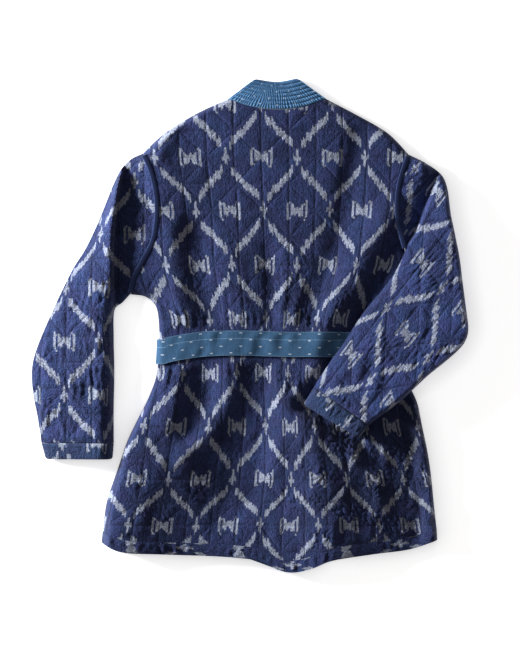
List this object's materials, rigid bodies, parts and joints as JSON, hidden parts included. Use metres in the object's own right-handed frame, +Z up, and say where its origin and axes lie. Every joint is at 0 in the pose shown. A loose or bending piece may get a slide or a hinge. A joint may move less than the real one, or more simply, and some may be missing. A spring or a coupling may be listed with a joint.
{
  "type": "hanten",
  "caption": "Quilted indigo jacket with a band collar, wide sleeves and a sash belt, laid flat with its back up and one sleeve folded across the waist.",
  "frame": {"origin": "on the floor, under the middle of the laid-out jacket", "axes": "+X to the wearer's right sleeve, +Y towards the collar, +Z up out of the floor"},
  "size_m": [0.6982, 0.7897, 0.0475],
  "materials": {
    "indigo_kasuri": "matt quilted cotton with a pale woven pattern",
    "kasuri_cross_cut": "matt cotton, cut across the pattern",
    "pale_sashiko": "matt cotton with rows of white stitching",
    "pale_sashiko_belt": "matt cotton with short white stitches",
    "navy_bias_tape": "matt cotton tape"
  },
  "bodies": {
    "root": {"back": "indigo_kasuri", "front_left": "indigo_kasuri", "front_right": "indigo_kasuri", "sleeve_left": "indigo_kasuri", "sleeve_right": "indigo_kasuri", "cuff_left": "kasuri_cross_cut", "cuff_right": "kasuri_cross_cut", "hem_band_back": "kasuri_cross_cut", "hem_band_front_left": "kasuri_cross_cut", "hem_band_front_right": "kasuri_cross_cut", "collar_back": "pale_sashiko", "collar_front_left": "pale_sashiko", "collar_front_right": "pale_sashiko", "belt_back": "pale_sashiko_belt", "belt_front": "pale_sashiko_belt", "armhole_binding_left": "navy_bias_tape", "armhole_binding_right": "navy_bias_tape"}
  },
  "joints": []
}
